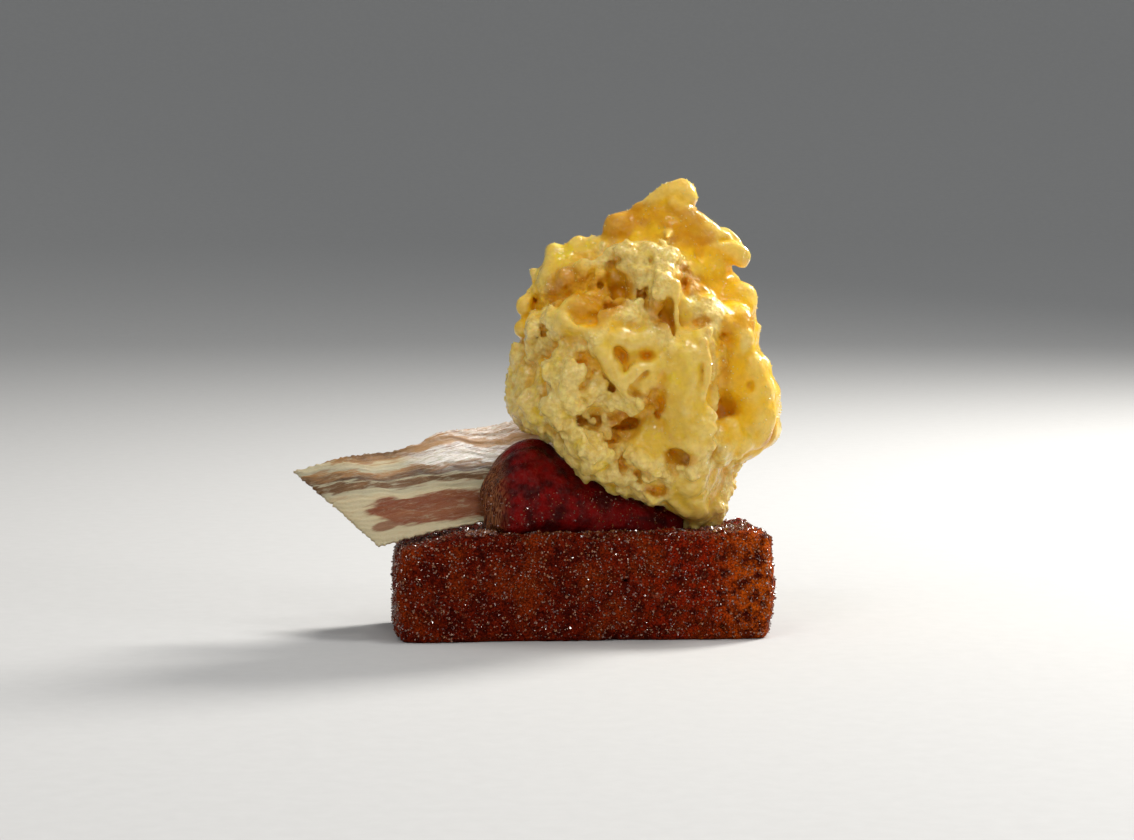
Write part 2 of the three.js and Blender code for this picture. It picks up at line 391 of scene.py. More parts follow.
class Look:
    """A material's node tree, with short ways to add to it. A socket or a plain value can be an input."""

    def __init__(self, name):
        self.material = bpy.data.materials.new(name)
        self.material.use_nodes = True
        self.tree = self.material.node_tree
        self.shader = self.tree.nodes["Principled BSDF"]
        mapping = self.add("ShaderNodeVectorMath", {}, operation="SCALE")
        coordinates = self.tree.nodes.new("ShaderNodeTexCoord")
        self.tree.links.new(coordinates.outputs["Object"], mapping.inputs[0])
        mapping.inputs["Scale"].default_value = 1 / MM
        self.spot = mapping.outputs[0]  # the place in millimetres

    def add(self, kind, inputs, **settings):
        node = self.tree.nodes.new(kind)
        for key, value in settings.items():
            setattr(node, key, value)
        for key, value in inputs.items():
            self.feed(node.inputs[key], value)
        return node

    def feed(self, socket, value):
        if isinstance(value, bpy.types.NodeSocket):
            self.tree.links.new(value, socket)
        elif isinstance(value, tuple) and len(value) == 3 and socket.type == "RGBA":
            socket.default_value = (*value, 1)
        else:
            socket.default_value = value

    def given(self, name):
        return self.add("ShaderNodeAttribute", {}, attribute_name=name).outputs["Fac"]

    def math(self, operation, a, b=0.0):
        return self.add("ShaderNodeMath", {0: a, 1: b}, operation=operation).outputs[0]

    def times(self, a, b):
        return self.math("MULTIPLY", a, b)

    def range(self, value, low, high, to_low=0.0, to_high=1.0):
        ends = {"Value": value, "From Min": low, "From Max": high, "To Min": to_low, "To Max": to_high}
        return self.add("ShaderNodeMapRange", ends, interpolation_type="SMOOTHSTEP").outputs[0]

    def mix(self, share, a, b, blend="MIX"):
        node = self.add("ShaderNodeMix", {"Factor": share}, data_type="RGBA", blend_type=blend)
        self.feed(node.inputs[6], a)
        self.feed(node.inputs[7], b)
        return node.outputs[2]

    def noise(self, size, detail=3.0, rough=0.55, warp=0.0, spot=None):
        """Noise from 0 to 1 with bumps about size millimetres apart."""
        inputs = {
            "Vector": self.spot if spot is None else spot,
            "Scale": 1 / size,
            "Detail": detail,
            "Roughness": rough,
            "Distortion": warp,
        }
        return self.add("ShaderNodeTexNoise", inputs).outputs["Fac"]

    def cells(self, size):
        """The distance to the nearest of points about size millimetres apart, as a share of that."""
        return self.add("ShaderNodeTexVoronoi", {"Vector": self.spot, "Scale": 1 / size}).outputs["Distance"]

    def stretched(self, scale, turn):
        inputs = {"Vector": self.spot, "Scale": scale, "Rotation": turn}
        return self.add("ShaderNodeMapping", inputs).outputs[0]

    def bump(self, height, depth):
        """Relief of depth millimetres."""
        inputs = {"Height": height, "Distance": depth * MM, "Strength": 1.0}
        return self.add("ShaderNodeBump", inputs).outputs[0]

    def finish(self, **inputs):
        for key, value in inputs.items():
            self.feed(self.shader.inputs[key.replace("_", " ")], value)
        return self.material


# ---------------------------------------------------------------- ice cream

SCOOP = {
    "step": 0.44,
    "margin": 2.5,
    "facets": 1.0,  # how far the CAD facets are blurred, in cells
    "shrink": 0.3,  # room for the lumps that are added
    "curds": 460,  # larger lumps on the rough parts, and smaller ones on top of them
    "curd_sizes": (0.8, 1.9),
    "crumbs": 1380,
    "crumb_sizes": (0.35, 0.8),
    "shallow": 2.7,  # hollows less deep than this have soft rims
    "crest": 62.0,  # the height of the mass under the lobes of the crest
    "front": 0.9,  # how far it may stand out in front of the CAD's box
    "bends": ((3.4, 0.65), (1.5, 0.28)),  # as warped() takes them
    "crystals": 5000,
    "crystal_sizes": (0.06, 0.14),  # as mostly_small() takes them
}


class Front:
    """Places on the scoop as the camera sees it, given as millimetres right of and above the corner of
    its box, in the plane through the middle of the dessert."""

    def __init__(self, node):
        self.low = box_of(node)[0]
        self.tree = tree_of(node)
        self.eye = np.array(EYE) / MM

    def ray(self, right, up):
        middle = np.array([self.low[0] + right, 0.0, self.low[2] + up])
        line = middle - self.eye
        return middle, line / np.linalg.norm(line)

    def deep(self, right, up, y):
        """The place seen there whose depth is y, where y is 0 in the middle and negative in front."""
        middle, line = self.ray(right, up)
        return middle + line * (y / line[1])

    def __call__(self, right, up, out=0.0):
        """The place seen there on the surface, or further out of it."""
        middle, line = self.ray(right, up)
        hit = self.tree.ray_cast(Vector(self.eye), Vector(line))[0]
        spot = middle if hit is None else np.array(hit)
        return spot - line * out


def turned(random):
    """A random rotation matrix."""
    return np.array(Euler(random.uniform(0, 2 * math.pi, 3)).to_matrix())


def soft_mask(field, front, patches, seed, uneven=1.0):
    """A grid from 0 to 1 that is 1 in patches with soft, uneven edges, each given as right, up, its two
    half sizes and how deep it goes."""
    x, y, z = field.axes()
    total = np.full(field.values.shape, -1.5, np.float32)
    edges = uneven * (0.55 * noise(field, 3.2, seed) + 0.3 * noise(field, 1.5, seed + 1))
    for right, up, half_right, half_up, deep in patches:
        cx, cy, cz = front(right, up)
        away = ((x - cx) / half_right) ** 2 + ((z - cz) / half_up) ** 2 + ((y - cy) / deep) ** 2
        np.maximum(total, 1.5 - away, out=total)
    return smoothstep(total + edges, 0.0, 1.2)


# Where the custard is smooth and melted, as right, up, half sizes and depth.
SMOOTH = [
    (32, 63, 11, 7, 16),  # crest
    (42, 56, 9, 7, 12),  # the arm that points right
    (22.5, 60, 5, 5, 8),
    (14.5, 43, 6.5, 6, 6),  # the wet shoulder on the left
    (37, 26, 6, 15, 7),  # the stream down the middle
    (30, 17, 6, 5, 6),
    (24.5, 33, 7.5, 7.5, 5),  # the flap with two holes
    (50, 26, 10, 15, 26),  # the right rim
    (47, 43, 7, 8, 14),
    (10.5, 53, 6, 5, 8),  # the upper left
    (15, 56, 4, 3, 6), (41, 48.6, 4.5, 4, 8),
    (38, 5, 6, 7, 9),  # the foot
    (3.6, 41.5, 3, 5, 5), (22, 47, 4, 5, 5), (34, 43, 4, 7, 5),
]

# Where the custard is deep amber.
AMBER = [
    (30, 62, 9, 4, 9), (22.5, 60, 3.6, 3.4, 6), (24, 59.5, 1.6, 2.8, 4), (37, 57.5, 5, 2.2, 7),
    (33.5, 57, 3, 1.6, 6), (13, 47, 7, 5, 8), (17.5, 43.5, 6, 4, 6), (22, 46.5, 3, 5, 5),
    (31.2, 42, 2.6, 4, 6), (36, 48.5, 2.2, 3.4, 6), (38.8, 47.4, 2.2, 3, 5), (39, 40.5, 3, 1.4, 4),
    (42.4, 23, 3.4, 4, 5), (44.4, 34, 1.6, 9, 5), (47, 41, 4, 3, 6), (52, 17.5, 3, 3.5, 6),
    (29.6, 25.4, 2.6, 3.2, 4), (23, 19.5, 4, 3, 5), (34.5, 13.6, 4.5, 1.8, 4), (30.5, 6.5, 3, 1.6, 4),
]

# Where it is clear gold: the crest, the arm, the right rim and the wet shoulder on the left.
GOLD = [
    (30, 62, 12, 5, 14), (35, 65, 4, 4, 8), (22.5, 60, 4, 4, 8), (40, 54, 7, 4, 10),
    (46.6, 43, 6, 7, 10), (50, 24, 8, 13, 14), (44.6, 34, 3, 9, 8), (41.6, 48.6, 5, 5, 8),
    (16, 46, 8, 8, 10), (5, 44, 4, 5, 8),
]

# Where it is lemon yellow: partly its own colour, and partly painted glow of light shining through thin
# custard.
LEMON_AND_GLOW = [
    (7, 30.5, 1.4, 3, 3), (6.2, 22.5, 1.6, 2.4, 3), (15, 17, 1.6, 3.4, 3), (11, 55, 2.4, 1.6, 4),
    (24, 31, 0.8, 2, 2), (37.8, 54.8, 1.4, 1.4, 4), (44.5, 44.5, 2, 1.6, 4), (5.2, 42, 1.4, 3.4, 4),
    (18.5, 12, 2.4, 1.2, 3),
]

# Rounded lobes of the outline and the crest: right, up, depth and radius.
OUTLINE = [
    (35.5, 65.6, -2, 2.7),  # the ball at the tip
    (33.4, 66.2, -1.6, 2.5), (31.2, 65.6, -1.2, 2.3), (29.4, 64.2, -0.8, 2.2), (27, 62.6, 0, 2.1),
    (22.4, 59.6, -1, 3.2), (24.6, 60.4, 0, 2.6), (34.6, 62, -1, 3), (31, 61.6, -1, 3.4),
    (28, 60.6, -1, 3),
    (47, 53.4, -5, 1.7),  # the end of the arm
    (44.6, 50.9, -3, 1), (44.4, 47.8, 0, 2.3), (46.8, 42.8, 0, 3.3), (46.6, 37.6, 0, 2.6),
    (48.6, 34.2, 0, 2.4), (51.4, 31.4, 0, 2.2), (52, 26.4, 0, 2.9), (52.4, 23, 0, 2.7),
    (51.4, 18.6, 0, 3.2),
    (45.2, 11.4, 4, 1.4),  # small lobes behind, at the lower right
    (44.6, 8.6, 4, 1.3), (43.6, 6, 4, 1.3),
    (9.6, 54, 0, 2.3),  # the upper left
    (14.2, 55, 0, 2.4), (17, 55.4, -1, 1.8), (7.4, 49.4, 0, 2.2), (6.6, 46.8, 0, 1.9),
    (4, 44, 0, 2.1),  # two drops at the left edge
    (2.9, 39.4, 0, 1.9), (7.4, 44.8, 0, 2.4), (3.6, 33.8, 1, 2.6), (2.8, 29.4, 1, 2.7),
    (3.6, 25, 1, 2.6), (6.4, 21.4, 0, 2.6),
]

# Lobes on the front: right, up, how far out, and radius.
LOBES = [
    (37.4, 8.8, 0.4, 2.4), (29.6, 5.8, 0, 2), (32.8, 7.4, 0, 1.5), (26.4, 8.4, 0, 1.7),
    (16.3, 15.5, 0.3, 2.1), (13.2, 13.9, 0.2, 1.9), (17.4, 12.2, 0.2, 2), (20.6, 10.4, 0.2, 1.7),
    (23.4, 11.6, 0.2, 1.3), (23.6, 8.8, 0.2, 1.5), (11.6, 17.2, 0.2, 1.8), (10.9, 21.6, 0.2, 2.6),
    (10.4, 25, 0.1, 2.4), (5.9, 25.8, 0.3, 2.1), (5.7, 22.6, 0.2, 2.1), (3.4, 32, 0.5, 1),
    (9.4, 31, 0.1, 2.2), (13, 34.6, 0.2, 2.6), (13.4, 29.6, 0.1, 2.4), (17.4, 27.4, 0.2, 1.8),
    (13, 25.4, 0.1, 2), (19, 51.8, 0.4, 1.9), (15.6, 51.4, 0.3, 2), (11.6, 49.6, 0.3, 1.6),
    (22, 53.8, 0.2, 1.7), (25, 54.8, 0.3, 1.5), (28.4, 55, 0.3, 1.6), (31.6, 54, 0.3, 1.4),
    (26.4, 51, 0.2, 1.5), (30.6, 50.4, 0.4, 1.6), (33.6, 50.6, 0.3, 1.3), (33.6, 47.6, 0.4, 1.2),
    (29.4, 47.2, 0.5, 1.3), (37.4, 42.8, 0.5, 0.9), (40.6, 43.4, 0.2, 1.5), (41, 22.4, 0.4, 1.4),
    (44.4, 21.4, 0.3, 1.2), (40, 19.6, 0.4, 1.7), (45.6, 17.4, 0.2, 1.7), (30.2, 38.6, 0.5, 1.2),
]

# Small upright crumbs hanging in the pit on the left: right, up and how far out.
CRUMBS = [
    (16.4, 21.6, -0.2), (17.2, 20.4, 0), (18.6, 22.3, 0), (19.9, 21, -0.2), (21.3, 20.8, 0.2),
    (15.6, 18.8, 0), (20.4, 18.6, -0.8), (22.2, 14.8, 0),
]

# Raised streaks of custard: points right, up and out, and the radius at each.
STREAKS = [
    ([(37.4, 41, -1.4), (37.6, 36, -1.5), (37.2, 29, -1.5), (37.4, 22, -1), (38.2, 15, -0.6), (37.8, 9, 0)],
     [1.4, 2, 2.4, 2.8, 2.6, 2.4]),
    ([(34.8, 36, -0.6), (35.2, 30, -0.4), (35.2, 24.4, -0.2), (34.4, 19, 0)], [2.4, 3, 3, 2.6]),
    ([(34, 27, 0.3), (32, 22.4, 0.4), (29, 18.6, 0.4), (26.4, 15, 0.3)], [2.2, 2.4, 2.8, 1.7]),
    ([(30.6, 17.6, 0.2), (33.6, 16.8, 0.3), (37, 16, 0.2)], [2.2, 1.9, 1.8]),
    ([(25, 14.4, 0.9), (29.4, 11.2, 1.2), (33.8, 8.8, 1)], [1, 1.2, 0.7]),
    ([(17.4, 38, 0.2), (19.6, 33.6, 0.5), (21.9, 29.4, 0.8), (23.5, 27.4, 1)], [1.7, 1.9, 1.8, 0.9]),
    ([(23.6, 27.6, 1), (26.4, 30.4, 0.7), (30.4, 32.4, 0.4)], [1, 1.6, 2]),
    ([(18.2, 38.6, -0.1), (22, 37.4, 0), (26, 36.2, 0), (30.4, 37.2, 0), (34.4, 35, 0.2)],
     [1.8, 1.9, 1.7, 1.8, 1.6]),
    ([(36.4, 34, 0.9), (37.2, 28.6, 1), (36.2, 23, 0.9)], [0.7, 0.9, 0.6]),
    ([(39.8, 36.4, 0.5), (40.4, 31, 0.7), (39.6, 25.6, 0.6)], [0.6, 0.8, 0.6]),
    ([(33.2, 31.4, 0.7), (33.8, 26.4, 0.8), (31.4, 21.6, 0.7)], [0.6, 0.8, 0.6]),
    ([(33.5, 45.4, 0.2), (34.8, 38.6, 0.9), (38, 33.6, 0.9)], [0.7, 0.65, 0.8]),
    ([(17, 41.2, 0.3), (19.6, 41.6, 0.6), (22.2, 40.2, 0.5)], [0.8, 1, 1]),
    ([(14.6, 24.6, 0.5), (17.4, 24.6, 0.8), (21.4, 25.2, 0.8), (26, 25, 0.5)], [1.1, 1.1, 1.1, 1]),
    ([(14.4, 24.6, 0.5), (14.2, 21, 0.5), (14.8, 17.6, 0.4)], [1.2, 1.1, 1.2]),
    ([(7.2, 42.4, 0.4), (5.4, 39.4, 0.5), (5, 36, 0.5), (5.8, 33.6, 0.4)], [1, 1.2, 1.2, 0.9]),
    ([(10.8, 38.9, 0.3), (8.2, 37.2, 0.5), (6.2, 34.8, 0.5)], [0.9, 1, 0.9]),
    ([(7.6, 41.8, 0.3), (11.2, 41.2, 0.5), (14, 39.8, 0.3)], [1, 1.1, 0.9]),
    ([(30.9, 50, 0.4), (30.7, 47.2, 0.7), (30, 44.6, 0.9)], [1.5, 1.2, 0.7]),
    ([(25.2, 50.4, 0.2), (25.1, 46.6, 0.6), (25.5, 42.6, 0.8)], [1.1, 1, 0.9]),
    ([(19, 49.6, 0.5), (19.3, 47, 0.7), (20.4, 45.6, 0.8)], [1.1, 0.9, 0.7]),
    ([(28.6, 48.6, 0.4), (27.4, 45.4, 0.6)], [1, 0.8]),
    ([(36.2, 8.2, 0.2), (38, 4, 0.2), (40.4, 1.4, 0)], [2.2, 1.9, 1.3]),
    ([(33.4, 5, 0), (35.6, 2.8, 0), (38.4, 1.9, 0)], [1.3, 1.3, 1.4]),
    ([(32.4, 58.2, 0.5), (31.8, 55.8, 0.6)], [0.7, 0.5]),
]

# Streaks of the arm and its curl, whose points are right, up and depth.
ARM = [
    ([(33.4, 64, -3.6), (37, 61.6, -4), (40.6, 57.6, -4.6), (44.4, 55.2, -5), (47, 53.5, -5)],
     [1.4, 2.2, 2.1, 1.8, 1.6]),
    ([(41, 57.8, -2.6), (43.5, 58.3, -2.6), (45.7, 56.9, -3.2), (46.7, 55.2, -4)], [0.9, 1, 1, 0.9]),
    ([(36.5, 57.4, -2), (40, 54.6, -3), (43.2, 52.2, -3.4)], [2.6, 2.4, 1.8]),
]

# Hollows: right, up, half sizes across and up, and depth.
HOLLOWS = [
    (22.7, 34.1, 1.1, 1.1, 1.9),  # two holes side by side
    (23.4, 32.8, 0.5, 0.9, 1.8), (24, 31.4, 0.4, 1.9, 0.9), (28.4, 33.8, 1.5, 1.2, 2.1),
    (31.2, 41.2, 2, 2.6, 1.7),  # amber holes
    (32.4, 43.6, 1, 1.8, 1.5), (33, 38.8, 0.5, 1.2, 1.2), (36, 48, 0.9, 2.2, 3.6),
    (39.2, 40.6, 2.2, 0.8, 1.8), (36.2, 43, 1, 1, 1.4), (16.2, 41, 2.2, 1.3, 2.4),
    (14.4, 42.8, 2.2, 1, 1.6), (11.4, 45.6, 1.6, 0.8, 1.4), (18.6, 47.6, 0.7, 1.6, 1.2),
    (22.4, 46.6, 1.2, 3.2, 2.6), (20.2, 43, 1.2, 1, 2.2), (27.2, 46.4, 0.7, 2.4, 1.8),
    (33.4, 52.3, 1, 0.8, 1.8), (28.4, 52.8, 1.2, 0.5, 1.2), (23.8, 57.2, 0.8, 0.9, 1.2),
    (26.4, 26, 2, 0.9, 1.4),  # under the flap
    (20.2, 27.4, 1.8, 0.9, 1.2),
    (23.9, 20.4, 2.4, 1.6, 3.4),  # the crumbly pit
    (19.4, 20.4, 3.6, 1.4, 2.4), (21.2, 16.8, 1.8, 1.3, 2.6), (15.2, 22.6, 0.5, 1.8, 2.2),
    (23.6, 13.2, 1.1, 2, 1.8),
    (42.2, 22.6, 2.2, 2.2, 1.4),  # the ochre pit
    (41.8, 26.2, 0.9, 1.6, 0.8),
    (34.4, 14, 3.4, 1, 2.6),  # under the lip
    (36.4, 13, 2, 0.9, 1.6), (45, 15, 1.6, 0.9, 1.1),
    (45.4, 36.1, 0.6, 0.8, 0.8),  # two dimples in the right rim
    (48.7, 27.6, 0.7, 0.9, 0.9),
    (8.6, 23, 0.4, 3.6, 2.6),  # a crease on the left
    (7.8, 29.8, 0.6, 2.6, 1.6), (14.6, 31.4, 1, 0.8, 1.2), (7.4, 38.4, 1.2, 0.8, 1.2),
    (6.2, 42.6, 0.5, 3.2, 1.8), (9.4, 45.6, 1, 0.8, 1.6), (26.4, 9.6, 1, 1.4, 1.2),
    (30.6, 6.8, 1.4, 0.7, 1),
    (44.3, 56.8, 1.2, 0.5, 1.4),  # inside the curl
    (35, 63.6, 1.6, 0.35, 0.9), (38.6, 53.9, 0.7, 1, 1.2),
]

# The broad right rim: lobes as right, up, depth and radius, and the places in front that are cut back to it.
RIM = [
    (46.6, 44.6, -6, 3.8), (45.8, 40.6, -10.6, 3.9), (45.8, 36.4, -12.6, 2.8), (48.8, 30.8, -12.2, 3.7),
    (49.8, 26.2, -11.6, 4.1), (49.8, 21.8, -10.8, 4.2), (49.6, 18.2, -9, 3.7),
]
CUT_BACK = [
    (48.6, 32, -20, (4.8, 6.4, 12)), (44.8, 31, -24, (4.4, 6.6, 12)), (43.6, 33, -25, (6.4, 6.6, 13)),
    (43.6, 39.6, -22, (2.6, 3.4, 2.6)), (43.2, 27.4, -21, (1.6, 3, 2.2)),
]

# Where the mass is filled out, so that no shelf is left: right, up, depth and radius.
FILLED = [
    (36.5, 42.6, -14.2, 3.4), (40.2, 41.8, -13.2, 3.6), (38, 45.4, -11.8, 3.2), (42.6, 40, -13, 3),
    (25, 40.6, -15.8, 2.8), (28.6, 40, -16.4, 2.6), (21.6, 39.6, -15.6, 2.4), (23.4, 41.6, -15.4, 2.6),
    (26.8, 41.8, -15.8, 2.4), (19.6, 39.2, -15.2, 2.4), (44, 19, -13.6, 3), (45.8, 16, -11.8, 3),
    (42.8, 15.6, -14.6, 2.6),
]

# Creases, as points right, up and out, with a radius.
CREASES = [
    ([(43.7, 38, 0), (43.8, 35, 0), (44.3, 31, 0), (45.4, 27.6, 0)], 0.6),
    ([(24.6, 26.6, 0), (26.6, 28.4, 0), (28.2, 30, 0)], 0.7),
    ([(27, 27.4, 0.5), (29.4, 26.6, 0.6), (30.8, 24, 0.7), (30.6, 21.8, 0.8)], 1),
    ([(10, 18.6, 0), (12.6, 15.8, 0), (15.4, 13.4, 0)], 0.35),
    ([(24.6, 6, 0), (25.6, 10, 0), (28.6, 9.4, 0)], 0.4),
    ([(17.4, 56.6, 0), (19.4, 54.2, 0), (19.4, 52, 0)], 0.3),
    ([(11.4, 55.4, 0), (11.8, 52.4, 0), (9.8, 50.4, 0)], 0.35),
]


def shape_outline(field, front):
    """The mass of the scoop: its crest, outline and right rim."""
    top = front.low[2] + SCOOP["crest"] - field.axes()[2]
    field.values = -merged(-field.values, top, 1.5)
    for right, up, y, radius in OUTLINE:
        lump(field, front.deep(right, up, y), radius, soft=1.2)
    for right, up, y, size in CUT_BACK:
        lump(field, front.deep(right, up, y), size, soft=2.4, carve=True)
    for right, up, y, radius in RIM + FILLED:
        lump(field, front.deep(right, up, y), radius, soft=2.0)


def shape_front(field, front, random):
    """The lobes and melted streaks on the front, and the arm of the crest."""
    for right, up, out, radius in LOBES:
        shape = radius * random.uniform(0.92, 1.12, 3)
        lump(field, front(right, up, out - 0.5 * radius), shape, soft=1.2)
    for points, radii in STREAKS:
        path, widths = rounded_path([front(*p) for p in points], radii)
        line = path - front.eye
        inward = 0.5 * widths[:, None] * line / np.linalg.norm(line, axis=1)[:, None]
        stroke(field, path + inward, widths, soft=1.6)
    for points, radii in ARM:
        path, widths = rounded_path([front.deep(*p) for p in points], radii)
        stroke(field, path, widths, soft=0.8)


def carve_front(field, front, random):
    """The hollows and creases on the front, and the crumbs that hang in the largest hollow."""
    wobble = noise(field, 1.5, 3)
    for right, up, across, tall, deep in HOLLOWS:
        soft = 0.5 if deep > SCOOP["shallow"] else 1.1
        lump(field, front(right, up, -0.2 * deep), (across, deep, tall), soft, None, True, 0.4 * wobble)
    for points, radius in CREASES:
        path, widths = rounded_path([front(*p) for p in points], [radius] * len(points))
        stroke(field, path, widths, soft=0.5, carve=True)
    for right, up, out in CRUMBS:
        lump(field, front(right, up, out - 0.6), (0.7, 0.8, 1.25), soft=0.35, turn=turned(random))


def ice_cream_field():
    field = field_of("ice_cream", SCOOP["step"], SCOOP["margin"])
    field.values = softened(field.values, SCOOP["facets"]) + SCOOP["shrink"]
    front = Front("ice_cream")
    smooth = soft_mask(field, front, SMOOTH, 51, 0.3)
    rough = 1 - smooth
    random = np.random.default_rng(7)
    shape_outline(field, front)
    shape_front(field, front, random)
    field.values += (0.3 + 0.3 * rough) * noise(field, 4.0, 1) + rough * 0.22 * noise(field, 1.7, 2)
    add_curds(field, smooth, random, SCOOP["curds"], SCOOP["curd_sizes"], sink=0.5, soft=0.7)
    carve_front(field, front, random)
    warped(field, SCOOP["bends"], 0.45 + 0.55 * rough, 61)
    keep = field.axes()[1] - (front.low[1] - SCOOP["front"])
    field.values = -merged(-field.values, keep, 0.8)
    add_curds(field, smooth, random, SCOOP["crumbs"], SCOOP["crumb_sizes"], sink=0.2, soft=0.35)
    field.values += (0.04 + 0.15 * rough) * noise(field, 0.95, 4)
    return field, front, smooth


def add_curds(field, smooth, random, count, sizes, sink, soft):
    """Scatters rounded, turned lumps over the rough parts of the surface."""
    points = netted(field)[0]
    spots = points[field.at(points, smooth) < 0.5]
    middle = field.low + np.array(field.values.shape) * field.step / 2
    for i in random.integers(0, len(spots), count):
        size = random.uniform(*sizes)
        shape = size * np.array([random.uniform(1.0, 1.5), 1.0, random.uniform(0.75, 1.0)])
        inward = middle - spots[i]
        spot = spots[i] + sink * size * inward / np.linalg.norm(inward)
        lump(field, spot, shape, soft=soft, turn=turned(random))


def custard_colour(look, smooth, melted, gold):
    """Cream where it is rough and yellow where it has melted, with gold and amber patches, painted shade of
    darker orange in creases, a painted bright orange glow in the deepest hollows and a painted pale
    highlight on ridges.
    """
    hollow = look.given("hollow")
    amber = look.given("amber")
    lemon_and_glow = look.given("lemon_and_glow")
    broad = look.noise(7.0, 2.0)
    patch = look.noise(2.2, 3.0, warp=0.6)
    cream = look.mix(look.range(patch, 0.35, 0.65), (0.80, 0.56, 0.12), (0.83, 0.66, 0.23))
    custard = look.mix(broad, (0.78, 0.48, 0.035), (0.82, 0.57, 0.08))
    colour = look.mix(melted, cream, custard)
    yellow = look.range(look.noise(3.0, 2.0), 0.56, 0.68, 0.0, 0.6)
    # The lemon patches are partly the custard's own colour and partly painted glow.
    yellow = look.math("MAXIMUM", yellow, look.range(lemon_and_glow, 0.1, 0.8, 0.0, 0.9))
    colour = look.mix(yellow, colour, (0.82, 0.58, 0.018))
    colour = look.mix(look.range(gold, 0.1, 0.9, 0.0, 0.9), colour, (0.88, 0.51, 0.012))
    deep = look.times(look.range(amber, 0.0, 1.0), look.range(broad, 0.3, 0.6, 0.75, 1.0))
    colour = look.mix(look.times(deep, 0.92), colour, (0.60, 0.25, 0.001))
    # Painted highlight: convex ridges are turned pale, less so where the custard is deep amber.
    plain = look.math("SUBTRACT", 1.0, look.times(deep, 0.8))
    painted_ridge_highlight = look.times(look.range(hollow, -0.15, -0.5, 0.0, 0.45), plain)
    colour = look.mix(painted_ridge_highlight, colour, (0.88, 0.68, 0.22))
    # Painted shade: creases are turned a darker orange.
    crease = look.range(hollow, 0.0, 0.3, 0.0, 0.65)
    colour = look.mix(crease, colour, (0.80, 0.42, 0.012))
    # Painted glow: the deepest hollows are turned a bright orange, as if lit through.
    pit = look.range(hollow, 0.3, 1.0, 0.0, 0.9)
    colour = look.mix(pit, colour, (1.0, 0.46, 0.003))
    ochre = look.range(look.noise(4.2, 3.0, warp=0.8), 0.54, 0.7, 0.0, 0.45)
    colour = look.mix(ochre, colour, (0.72, 0.43, 0.035))
    mottle = look.range(look.noise(1.1, 3.0, 0.6), 0.35, 0.65)
    mottle = look.mix(mottle, (0.90, 0.85, 0.74), (1.08, 1.08, 1.08))
    mottled = look.mix(1.0, colour, mottle, "MULTIPLY")
    return look.mix(look.range(smooth, 0.0, 1.0, 1.0, 0.4), colour, mottled)


def ice_cream_look():
    look = Look("egg custard ice cream")
    smooth = look.given("smooth")
    gold = look.given("gold")
    melted = look.range(smooth, 0.1, 0.9)
    colour = custard_colour(look, smooth, melted, gold)
    grain = look.noise(0.3, 3.0, 0.6)
    crumb = look.mix(0.5, look.noise(0.9, 4.0, 0.65), look.cells(0.7))
    relief = look.mix(0.12, crumb, grain)
    height = look.mix(melted, relief, look.noise(2.0, 2.0, 0.5))
    normal = look.bump(height, 0.42)
    rough_gloss = look.range(grain, 0.3, 0.7, 0.28, 0.55)
    gloss = look.mix(melted, rough_gloss, (0.28, 0.28, 0.28))
    wet = look.range(look.noise(2.4, 2.0), 0.34, 0.56, 0.2, 1.0)
    wet = look.times(wet, look.range(gold, 0.1, 0.9, 1.0, 0.3))
    return look.finish(
        Base_Color=colour,
        Roughness=gloss,
        Normal=normal,
        Subsurface_Weight=0.35,
        Subsurface_Radius=(1.0, 0.5, 0.1),
        Subsurface_Scale=0.0014,
        Specular_IOR_Level=0.15,
        IOR=1.42,
        Coat_Weight=wet,
        Coat_Roughness=0.07,
        Coat_Normal=look.bump(look.noise(1.3, 2.0, 0.5), 0.35),
    )


def make_ice_cream():
    field, front, smooth = ice_cream_field()
    points, quads = largest_part(*netted(field))
    near = -field.at(points, softened(field.values, 2.5))
    wide = -field.at(points, softened(field.values, 5.7))
    values = {
        # How hollow each place is; the colour uses it for painted shade in creases, painted glow in hollows
        # and painted highlight on ridges.
        "hollow": near + 0.35 * wide,
        "smooth": field.at(points, smooth),
        "amber": field.at(points, soft_mask(field, front, AMBER, 53)),
        "lemon_and_glow": field.at(points, soft_mask(field, front, LEMON_AND_GLOW, 55)),
        "gold": field.at(points, soft_mask(field, front, GOLD, 57)),
    }
    piece = mesh_piece("custard_scoop", points, quads, ice_cream_look(), values)
    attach(piece, "root")
    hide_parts("ice_cream")
    spots, normals = surface_spots(piece, SCOOP["crystals"], 58, lambda p, n: n[:, 2] > -0.6, 0.05)
    sizes = mostly_small(len(spots), SCOOP["crystal_sizes"], 59)
    crystals = scattered("ice_crystals", spots, normals, sizes, frost_look(), 60)
    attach(crystals, "root")
    return piece


def frost_look():
    look = Look("ice crystals")
    return look.finish(
        Base_Color=look.mix(look.noise(2.0, 1.0), (0.88, 0.62, 0.10), (0.92, 0.76, 0.30)),
        Roughness=0.16,
        Subsurface_Weight=0.7,
        Subsurface_Radius=(1.0, 0.7, 0.3),
        Subsurface_Scale=0.001,
        IOR=1.6,
        Coat_Weight=0.8,
        Coat_Roughness=0.06,
        Coat_IOR=1.6,
    )


# ---------------------------------------------------------------- French toast

TOAST = {
    "step": 0.45,
    "margin": 2.0,
    "shrink": 0.2,
    "pores": 420,
    "grains": 2600,
    "sparkles": 19000,
    "sparkle_sizes": (0.08, 0.22),
    "crust": 150,
    "glow": 15.0,  # how far from its front right corner the painted glow reaches
    "end": 0.5,  # how much of the painted glow its right end face loses
}


